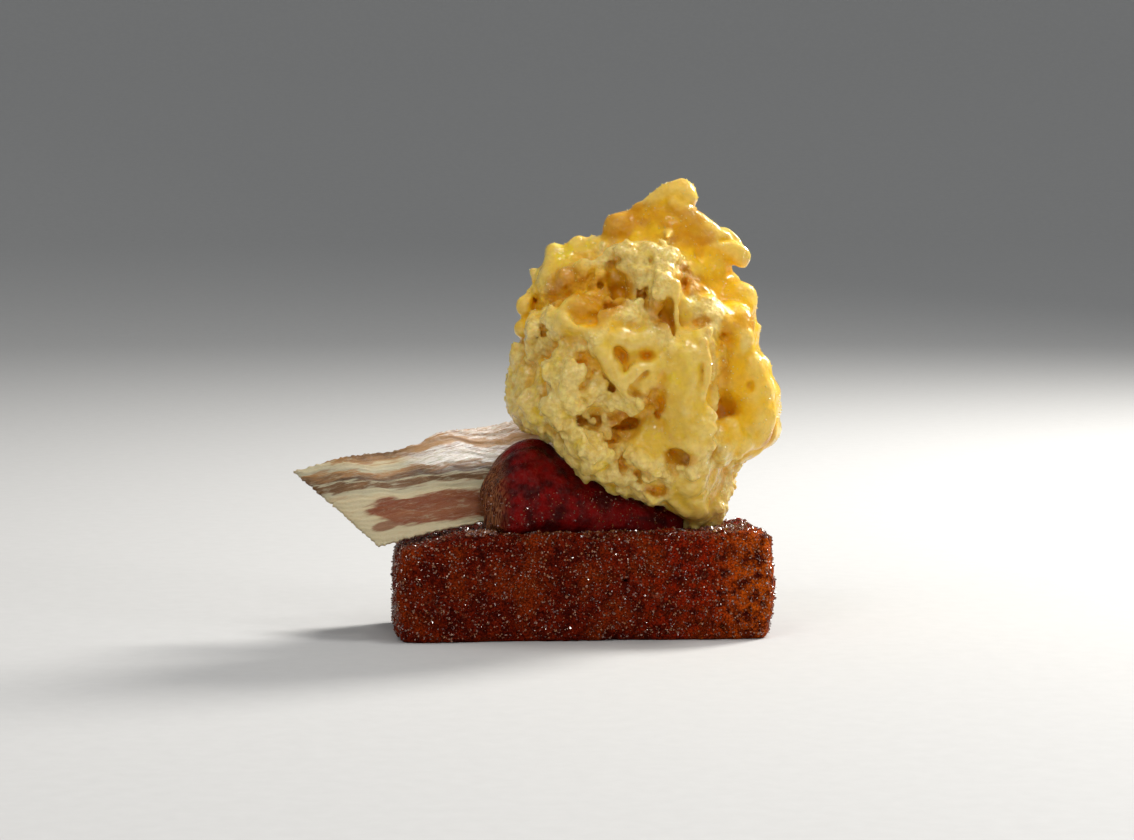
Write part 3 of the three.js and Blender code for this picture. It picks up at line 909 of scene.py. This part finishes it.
def toast_field():
    field = field_of("french_toast", TOAST["step"], TOAST["margin"], coarse=1.0)
    field.values = softened(field.values, 1.4) + TOAST["shrink"]
    field.values += 0.25 * noise(field, 6.0, 11) + 0.16 * noise(field, 2.2, 12)
    random = np.random.default_rng(17)
    points = netted(field)[0]
    for i in random.integers(0, len(points), TOAST["pores"]):
        size = 0.3 + 0.7 * random.random() ** 4
        shape = size * np.array([random.uniform(1.0, 1.9), 1.0, 0.8])
        lump(field, points[i], shape, soft=0.3, turn=turned(random), carve=True)
    for i in random.integers(0, len(points), TOAST["grains"]):
        lump(field, points[i], random.uniform(0.25, 0.5), soft=0.35)
    field.values += 0.12 * noise(field, 0.9, 13)
    settled(field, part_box("french_toast")[0].z / MM + 0.02, 2)
    return field


def toast_look():
    look = Look("caramelised toast")
    edge = look.given("edge")
    right = look.given("right")
    corner = look.given("corner")
    broad = look.noise(8.0, 3.0)
    patch = look.noise(2.2, 4.0, 0.65)
    fine = look.noise(0.4, 4.0, 0.7)
    dark = look.mix(look.range(patch, 0.35, 0.65), (0.055, 0.0035, 0.001), (0.150, 0.010, 0.0015))
    colour = look.mix(look.range(broad, 0.45, 0.68, 0.0, 0.8), dark, (0.210, 0.024, 0.002))
    # Painted glow: redder towards the lit right end, as if light shone through the caramel.
    painted_red_glow = look.times(look.range(right, 0.5, 0.95), look.range(patch, 0.42, 0.6))
    colour = look.mix(look.times(painted_red_glow, 0.8), colour, (0.27, 0.012, 0.001))
    # Painted glow: lighter and warmer near the front right corner.
    painted_glow = look.times(look.range(corner, 0.0, 0.8), look.range(patch, 0.36, 0.6))
    colour = look.mix(look.times(painted_glow, 0.85), colour, (0.46, 0.085, 0.004))
    # Painted glow: the edges towards the right end are turned amber.
    amber = look.times(look.range(edge, 0.3, 1.0), look.range(right, 0.35, 0.9, 0.12, 0.7))
    colour = look.mix(look.times(amber, look.range(fine, 0.3, 0.6)), colour, (0.62, 0.20, 0.012))
    skin = look.range(look.noise(2.1, 1.0, warp=1.5), 0.66, 0.74, 0.0, 0.4)
    colour = look.mix(skin, colour, (0.15, 0.055, 0.03))
    # Painted shade: the hollows of the crumb are turned nearly black.
    painted_pit_shade = look.range(edge, -0.1, -0.5, 0.0, 0.75)
    colour = look.mix(painted_pit_shade, colour, (0.012, 0.002, 0.001))
    speckle = look.mix(look.range(fine, 0.38, 0.64), (0.42, 0.34, 0.30), (1.55, 1.55, 1.55))
    colour = look.mix(1.0, colour, speckle, "MULTIPLY")
    grit = look.cells(0.3)
    height = look.mix(0.5, look.range(look.cells(0.55), 0.0, 0.7, 1.0, 0.0), fine)
    return look.finish(
        Base_Color=colour,
        Roughness=look.range(fine, 0.3, 0.7, 0.25, 0.45),
        Normal=look.bump(height, 0.34),
        Specular_IOR_Level=0.02,
        Subsurface_Weight=0.1,
        Subsurface_Radius=(1.0, 0.2, 0.04),
        Subsurface_Scale=0.0015,
        IOR=1.45,
        Coat_Weight=look.range(grit, 0.3, 0.1, 0.0, 0.06),
        Coat_Roughness=0.1,
    )


def sugar_look(name):
    look = Look(name)
    shade = look.noise(1.3, 1.0)
    colour = look.mix(look.range(shade, 0.35, 0.65), (0.12, 0.016, 0.004), (0.32, 0.11, 0.03))
    return look.finish(
        Base_Color=colour,
        Roughness=look.range(look.noise(0.35, 1.0), 0.3, 0.7, 0.1, 0.36),
        IOR=2.0,
        Coat_Weight=0.8,
        Coat_Roughness=0.08,
        Coat_IOR=1.8,
    )


def scattered(name, spots, normals, sizes, look, seed):
    """Small turned octahedra on a surface, joined in one mesh."""
    random = np.random.default_rng(seed)
    corner = np.array([[1, 0, 0], [-1, 0, 0], [0, 1, 0], [0, -1, 0], [0, 0, 1], [0, 0, -1]], float)
    sides = [(0, 2, 4), (2, 1, 4), (1, 3, 4), (3, 0, 4), (2, 0, 5), (1, 2, 5), (3, 1, 5), (0, 3, 5)]
    count = len(spots)
    points = np.empty((count, 6, 3))
    for i in range(count):
        shape = corner * sizes[i] * random.uniform(0.7, 1.3, 3)
        points[i] = shape @ turned(random) + spots[i] + normals[i] * sizes[i] * 0.3
    faces = (np.array(sides)[None] + 6 * np.arange(count)[:, None, None]).reshape(-1, 3)
    piece = mesh_piece(name, points.reshape(-1, 3), faces, look)
    piece.data.polygons.foreach_set("use_smooth", [False] * len(faces))
    return piece


def mostly_small(count, sizes, seed, power=2):
    """Sizes that start at the first of two numbers and add up to the second, mostly little of it."""
    return sizes[0] + sizes[1] * np.random.default_rng(seed).random(count) ** power


def surface_spots(piece, count, seed, allowed, jitter=0.2):
    """Places on a piece, in millimetres and moved by up to jitter, with the outward direction at each."""
    random = np.random.default_rng(seed)
    mesh = piece.data
    normals = np.array([v.normal for v in mesh.vertices])
    points = np.array([v.co for v in mesh.vertices]) / MM
    chosen = random.choice(np.flatnonzero(allowed(points, normals)), count)
    return points[chosen] + random.uniform(-jitter, jitter, (count, 3)), normals[chosen]


def corner_glow(points, low, high):
    """How near places are to the upright edge at the front right, from 0 to 1 at the edge, for the painted
    glow there.
    """
    away = np.hypot(high[0] - points[:, 0], points[:, 1] - low[1])
    return np.clip(1 - away / TOAST["glow"], 0, 1)


def make_toast():
    field = toast_field()
    points, quads = largest_part(*netted(field))
    low, high = box_of("french_toast")
    end = smoothstep(points[:, 0], high[0] - 1.6, high[0] - 0.3)
    # Edge, right and corner place the painted glow and the painted shade in the toast's colour.
    values = {
        "edge": field.at(points, softened(field.values, 2.4)),
        "right": (1 - TOAST["end"] * end) * (points[:, 0] - low[0]) / (high[0] - low[0]),
        "corner": (1 - TOAST["end"] * end) * corner_glow(points, low, high),
    }
    toast = mesh_piece("toast_block", points, quads, toast_look(), values)
    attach(toast, "root")
    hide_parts("french_toast")

    def allowed(p, n):
        return (n[:, 2] > -0.5) & (p[:, 2] > 0.5)

    spots, normals = surface_spots(toast, TOAST["sparkles"], 21, allowed)
    sizes = mostly_small(len(spots), TOAST["sparkle_sizes"], 22, 2.5)
    crust, lines = crust_spots()
    spots = np.vstack([spots, crust])
    normals = np.vstack([normals, lines])
    sizes = np.append(sizes, np.random.default_rng(24).uniform(0.2, 0.5, len(crust)))
    sparkles = scattered("caramel_sparkles", spots, normals, sizes, sugar_look("caramel crystals"), 23)
    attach(sparkles, "root")
    return toast


def crust_spots():
    """Coarse crumbs of crust on the top: in a row where the jam ends, and beside the custard's foot."""
    random = np.random.default_rng(25)
    high = box_of("french_toast")[1]
    jam_low = box_of("tomato_jam")[0]
    count = TOAST["crust"]
    spots = np.empty((2 * count, 3))
    spots[:count, 0] = jam_low[0] + random.uniform(-3.5, 2.5, count)
    spots[:count, 1] = jam_low[1] + random.uniform(-1.5, 4.0, count)
    spots[count:, 0] = high[0] - 9.0 + random.normal(0, 2.2, count)
    spots[count:, 1] = random.normal(-7.0, 3.5, count)
    spots[:, 2] = high[2] - 0.75 + random.uniform(0, 0.5, 2 * count)
    return spots, np.tile([0.0, 0.0, 1.0], (2 * count, 1))


# ---------------------------------------------------------------- jam

JAM = {
    "step": 0.4,
    "margin": 2.0,
    "shrink": 0.15,
    "brown": 6.0,  # how far the brown, fibrous left end fades out
    "wet": 8.0,  # the height under which it glitters
    "glints": 1300,
    "glint_sizes": (0.07, 0.2),
}


def jam_field():
    field = field_of("tomato_jam", JAM["step"], JAM["margin"], coarse=0.9)
    low = box_of("tomato_jam")[0]
    field.values = softened(field.values, 1.6) + JAM["shrink"]
    x, y, z = field.axes()
    lump(field, low + (4.6, 8.0, 2.6), (4.4, 6.0, 3.2), soft=1.5)  # the foot of its steep end
    field.values += 0.4 * noise(field, 5.0, 31) + 0.18 * noise(field, 1.8, 32)
    left = np.clip(1.4 - (x - low[0]) / JAM["brown"], 0, 1)
    across = (x - low[0]) * 0.35 + (y - low[1]) * 1.0 - (z - low[2]) * 0.3
    fibres = np.sin(2.4 * across + 2.0 * noise(field, 3.5, 33))
    field.values += 0.22 * left * fibres
    folds = np.sin(1.1 * (y - low[1]) + 0.35 * (x - low[0]) + 1.5 * noise(field, 6.0, 34))
    field.values += 0.22 * folds
    settled(field, low[2] - 0.1, 3)
    return field


def jam_look():
    look = Look("tomato jam")
    left = look.given("left")
    streaks = look.noise(1.0, 4.0, 0.6, spot=look.stretched((3.2, 3.2, 0.4), (0.0, 0.35, 0.0)))
    patch = look.noise(3.5, 3.0)
    colour = look.mix(look.range(patch, 0.35, 0.65), (0.045, 0.0006, 0.0005), (0.19, 0.0018, 0.0014))
    brown = look.mix(look.range(streaks, 0.38, 0.62), (0.03, 0.004, 0.001), (0.30, 0.105, 0.035))
    colour = look.mix(look.range(left, 0.35, 0.95, 0.0, 0.9), colour, brown)
    height = look.mix(look.range(left, 0.3, 1.0), look.noise(0.8, 4.0, 0.6), streaks)
    return look.finish(
        Base_Color=colour,
        Roughness=look.range(streaks, 0.3, 0.7, 0.15, 0.38),
        Normal=look.bump(height, 0.35),
        Specular_IOR_Level=0.05,
        Subsurface_Weight=0.2,
        Subsurface_Radius=(1.0, 0.05, 0.03),
        Subsurface_Scale=0.0025,
        IOR=1.42,
        Coat_Weight=look.range(look.noise(1.0, 3.0), 0.45, 0.6, 0.05, 0.4),
        Coat_Roughness=0.07,
        Coat_Normal=look.bump(look.noise(0.5, 3.0, 0.6), 0.8),
    )


def make_jam():
    field = jam_field()
    points, quads = largest_part(*netted(field))
    low = box_of("tomato_jam")[0]
    values = {"left": np.clip(1.3 - (points[:, 0] - low[0]) / JAM["brown"], 0, 1)}
    piece = mesh_piece("jam_lump", points, quads, jam_look(), values)
    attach(piece, "root")
    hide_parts("tomato_jam")
    height = low[2] + JAM["wet"]

    def allowed(p, n):
        return (p[:, 2] < height) & (n[:, 2] > -0.3)

    spots, normals = surface_spots(piece, JAM["glints"], 35, allowed)
    sizes = mostly_small(len(spots), JAM["glint_sizes"], 36)
    glints = scattered("jam_sparkles", spots, normals, sizes, sugar_look("jam syrup crystals"), 37)
    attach(glints, "root")
    return piece


# ---------------------------------------------------------------- bacon

# The slice in its own frame, in millimetres: x along the streaks, y across, z through it.
BACON = {
    "width": 25.3,
    "near_length": 50.0,
    "far_short": 5.0,
    "cut_back": 8.7,
    "thickness": 1.0,
    "nick": (18.0, 23.0, 1.5),
    "taper": 0.1,
    "turn": (40.0, -10.0, 18.0),
    "cells": (300, 150),
    "drift": 0.0075,  # how fast the streaks cross the slice, as a share of the width per millimetre
}


def bacon_sheet():
    """The slice's middle surface over a grid of shares along and across, with x and y in its own frame."""
    along_count, across_count = BACON["cells"]
    s, t = np.meshgrid(
        np.linspace(0, 1, along_count + 1), np.linspace(0, 1, across_count + 1), indexing="ij"
    )
    start = -BACON["cut_back"] * t
    end = BACON["near_length"] - BACON["far_short"] * t * t
    x = start + (end - start) * s
    low, high, depth = BACON["nick"]
    width = BACON["width"] - depth * (1 - smoothstep(x, low, high))
    width = width - BACON["taper"] * np.maximum(0, x - high)
    y = width * t
    wave = 0.45 * np.sin(x * 0.3 + 0.8) * t + 0.35 * np.sin(x * 0.13 + t * 2.4)
    return s, t, x, y, wave


def streak_place(x, t):
    """Where a point lies across the streaks, which drift and wander along the slice."""
    wander = 0.022 * np.sin(x * 0.23 + 0.5) + 0.014 * np.sin(x * 0.51 + 5 * t)
    wander = wander + 0.008 * np.sin(x * 1.1 + 9 * t)
    return t + BACON["drift"] * (x - 10.8) + wander


def slab_faces(rows, columns):
    """The faces of a closed slab, whose points are a grid for its top and then one for its bottom."""
    index = np.arange(rows * columns).reshape(rows, columns)
    cell = np.stack([index[:-1, :-1], index[1:, :-1], index[1:, 1:], index[:-1, 1:]], -1).reshape(-1, 4)
    rim = np.concatenate([index[:-1, 0], index[-1, :-1], index[:0:-1, -1], index[0, :0:-1]])
    following = np.roll(rim, -1)
    half = rows * columns
    wall = np.stack([rim, rim + half, following + half, following], -1)
    return np.vstack([cell, (cell + half)[:, ::-1], wall])


def make_bacon():
    s, t, x, y, wave = bacon_sheet()
    random = np.random.default_rng(41)
    fray = np.interp(x, np.linspace(-10, 50, 150), random.normal(0, 0.15, 150))
    y = y + fray * (smoothstep(t, 0.85, 1.0) - smoothstep(t, 0.15, 0.0))
    chop = np.interp(y, np.linspace(-1, 27, 90), random.normal(0, 0.12, 90))
    x = x + chop * (1 - smoothstep(s, 0.0, 0.04))
    place = streak_place(x, t)
    fat = 0.5 + 0.5 * np.cos(2 * math.pi * (place - 0.5) / 0.34)
    thick = BACON["thickness"] * (0.72 + 0.28 * fat)
    rim = np.minimum(np.minimum(s, 1 - s) * 60, np.minimum(t, 1 - t) * 25)
    thick = thick * np.sqrt(np.clip(0.3 + 0.7 * rim, 0, 1))
    ripple = 0.05 * np.sin(120 * place + 0.2 * x) + 0.04 * np.sin(61 * place + 1.0)
    ripple = ripple + 0.10 * smoothstep(x, 10, 22) * np.sin(75 * place + 0.5 * np.sin(0.7 * x))
    middle = wave + ripple
    top = np.stack([x, y, middle + thick / 2], -1).reshape(-1, 3)
    bottom = np.stack([x, y, middle - thick / 2], -1).reshape(-1, 3)
    roll, pitch, yaw = (math.radians(a) for a in BACON["turn"])
    turn = np.array(Euler((roll, pitch, yaw), "XYZ").to_matrix())
    points = np.vstack([top, bottom]) @ turn.T
    low, high = box_of("bacon_crisp")
    points += (low + high) / 2 - (points.min(0) + points.max(0)) / 2
    values = {
        "place": np.tile(place.ravel(), 2),
        "length": np.tile(x.ravel(), 2),
        "across": np.tile(y.ravel(), 2),
    }
    piece = mesh_piece("bacon_slice", points, slab_faces(*s.shape), bacon_look(), values)
    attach(piece, "root")
    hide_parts("bacon_crisp")
    return piece


CREAM, GREY_CREAM = (0.52, 0.44, 0.27), (0.40, 0.36, 0.24)
LEAN, ROSY = (0.185, 0.045, 0.010), (0.24, 0.078, 0.027)
BROWN, UMBER, OCHRE = (0.13, 0.062, 0.020), (0.075, 0.036, 0.014), (0.32, 0.165, 0.055)
# The last colour is a painted highlight on the wet fat.
TAN, HIGHLIGHT_WHITE = (0.52, 0.28, 0.10), (0.92, 0.88, 0.82)

# The streaks from the near edge to the far one: a share of the width, and the colour there.
STREAK_COLOURS = [
    (0.00, CREAM),
    (0.07, CREAM),
    (0.11, LEAN),
    (0.22, ROSY),
    (0.32, LEAN),
    (0.41, LEAN),
    (0.45, CREAM),
    (0.53, GREY_CREAM),
    (0.56, BROWN),
    (0.62, BROWN),
    (0.640, GREY_CREAM),
    (0.665, UMBER),
    (0.69, BROWN),
    (0.75, OCHRE),
    (0.78, GREY_CREAM),
    (0.85, CREAM),
    (0.88, OCHRE),
    (0.97, BROWN),
    (1.00, BROWN),
]


def bacon_look():
    look = Look("crisp bacon")
    place = look.given("place")
    length = look.given("length")
    across = look.given("across")

    def along_slice(stretch, scale, detail, rough=0.6):
        spot = look.add("ShaderNodeCombineXYZ", {"X": look.times(length, stretch), "Y": across})
        return look.noise(scale, detail, rough, spot=spot.outputs[0])

    wander = along_slice(0.12, 1.2, 3.0)
    fibre = along_slice(0.1, 0.28, 4.0, 0.7)
    blotch = along_slice(0.35, 2.0, 3.0)
    shift = look.range(wander, 0.25, 0.75, -0.035, 0.035)
    fine = look.range(fibre, 0.25, 0.75, -0.012, 0.012)
    where = look.math("ADD", look.math("ADD", place, shift), fine)
    ramp = look.add("ShaderNodeValToRGB", {"Fac": where})
    stops = ramp.color_ramp.elements
    while len(stops) < len(STREAK_COLOURS):
        stops.new(0.5)
    for stop, (at, colour) in zip(stops, STREAK_COLOURS):
        stop.position = at
        stop.color = (*colour, 1)
    colour = ramp.outputs["Color"]
    fleck = look.times(look.range(along_slice(0.25, 0.9, 4.0, 0.7), 0.52, 0.66), 0.45)
    colour = look.mix(fleck, colour, GREY_CREAM)
    # The broad lean streak stops short of the cut end, and a small brown one lies below it there.
    off_middle = look.math("ABSOLUTE", look.math("SUBTRACT", where, 0.30))
    reach = look.math("SUBTRACT", length, look.times(off_middle, 30.0))
    bare = look.times(look.range(reach, 1.4, -0.8), look.range(place, 0.5, 0.44))
    colour = look.mix(bare, colour, CREAM)
    far = look.math("POWER", look.math("DIVIDE", look.math("SUBTRACT", length, 3.0), 3.2), 2.0)
    high = look.math("POWER", look.math("DIVIDE", look.math("SUBTRACT", across, 4.0), 1.3), 2.0)
    away = look.math("ADD", far, look.math("ADD", high, look.times(fibre, 0.8)))
    spot = look.range(away, 1.5, 0.9)
    colour = look.mix(look.times(spot, 0.8), colour, LEAN)
    colour = look.mix(look.range(blotch, 0.5, 0.75, 0.0, 0.35), colour, (0.36, 0.17, 0.065))
    colour = look.mix(look.range(fibre, 0.58, 0.75, 0.0, 0.4), colour, (0.17, 0.075, 0.03))
    # Towards the scoop lie two bands of wet fat carrying a painted near-white highlight, with a tan band
    # between them.
    far_end = look.range(length, 12.0, 19.0)
    tan = look.times(far_end, look.range(where, 0.90, 0.96, 0.0, 0.85))
    colour = look.mix(tan, colour, TAN)
    band = look.times(look.range(where, 0.75, 0.79), look.range(where, 0.96, 0.92))
    painted_highlight = look.math("MAXIMUM", band, look.range(where, 1.04, 1.07, 0.0, 0.7))
    painted_highlight = look.times(painted_highlight, look.range(fibre, 0.38, 0.56, 0.1, 0.95))
    colour = look.mix(look.times(painted_highlight, far_end), colour, HIGHLIGHT_WHITE)
    height = look.mix(0.6, fibre, look.noise(0.5, 4.0, 0.65))
    wet = look.times(look.range(length, 12.0, 24.0, 0.1, 1.0), look.range(place, 0.6, 0.75))
    return look.finish(
        Base_Color=colour,
        Roughness=look.range(fibre, 0.3, 0.7, 0.16, 0.42),
        Normal=look.bump(height, 0.25),
        Subsurface_Weight=0.25,
        Subsurface_Radius=(1.0, 0.5, 0.3),
        Subsurface_Scale=0.001,
        Specular_IOR_Level=0.25,
        IOR=1.45,
        Coat_Weight=wet,
        Coat_Roughness=0.1,
        Coat_IOR=1.9,
        Coat_Normal=look.bump(along_slice(0.3, 0.6, 3.0), 0.3),
    )


# ---------------------------------------------------------------- stage, lights and camera


def make_floor():
    look = Look("pale floor")
    cloth = look.noise(0.004 / MM, 4.0, 0.6)
    colour = look.mix(cloth, (0.56, 0.56, 0.555), (0.62, 0.62, 0.615))
    material = look.finish(Base_Color=colour, Roughness=0.75)
    rings = [0.0, 0.4, 1.0, 1.6, 2.1, 2.6, 3.0, 3.3]
    rise = [0.0, 0.0, 0.0, 0.03, 0.15, 0.4, 0.9, 1.6]
    sides = 64
    points, faces = [], []
    for radius, height in zip(rings, rise):
        for i in range(sides):
            a = 2 * math.pi * i / sides
            points.append((radius * math.cos(a) / MM, radius * math.sin(a) / MM, height / MM))
    for ring in range(len(rings) - 1):
        for i in range(sides):
            j = (i + 1) % sides
            a, b = ring * sides, (ring + 1) * sides
            faces.append((a + i, b + i, b + j, a + j))
    floor = mesh_piece("floor", points, faces, material)


def area_light(name, azimuth, elevation, distance, size, power, colour):
    data = bpy.data.lights.new(name, "AREA")
    data.shape = "DISK"
    data.size = size
    data.energy = power
    data.color = colour
    lamp = bpy.data.objects.new(name, data)
    towards = direction(azimuth, elevation)
    lamp.location = AIM + towards * distance
    lamp.rotation_mode = "QUATERNION"
    lamp.rotation_quaternion = towards.to_track_quat("Z", "Y")
    bpy.context.scene.collection.objects.link(lamp)


# Smaller lights that catch the sugar and the wet custard, as azimuth, elevation and power.
GLINTS = [(-58, 26, 0.35), (-30, 54, 0.5), (6, 28, 0.45), (30, 56, 0.5), (52, 22, 0.6)]


def make_lights():
    area_light("key", 122, 34, 0.75, 0.24, 7.4, (1.0, 0.97, 0.92))
    area_light("fill", -32, 34, 0.9, 0.45, 0.7, (1.0, 0.98, 0.96))
    area_light("overhead", 88, 76, 0.8, 0.2, 1.8, (1.0, 0.98, 0.96))
    for i, (azimuth, elevation, power) in enumerate(GLINTS):
        area_light(f"glint_{i}", azimuth, elevation, 0.8, 0.12, power, (1.0, 0.98, 0.96))
    world = bpy.data.worlds.new("studio")
    world.use_nodes = True
    world.node_tree.nodes["Background"].inputs["Color"].default_value = (0.86, 0.88, 0.90, 1)
    world.node_tree.nodes["Background"].inputs["Strength"].default_value = 0.3
    bpy.context.scene.world = world


def make_camera():
    data = bpy.data.cameras.new("camera")
    data.lens = CAMERA["lens"]
    data.sensor_width = CAMERA["sensor"]
    data.clip_start = 0.01
    camera = bpy.data.objects.new("camera", data)
    camera.location = EYE
    camera.rotation_mode = "QUATERNION"
    camera.rotation_quaternion = (EYE - AIM).to_track_quat("Z", "Y")
    bpy.context.scene.collection.objects.link(camera)
    bpy.context.scene.camera = camera


make_camera()
make_floor()
make_lights()
make_toast()
make_jam()
make_bacon()
make_ice_cream()

bpy.context.scene.view_settings.view_transform = "Standard"
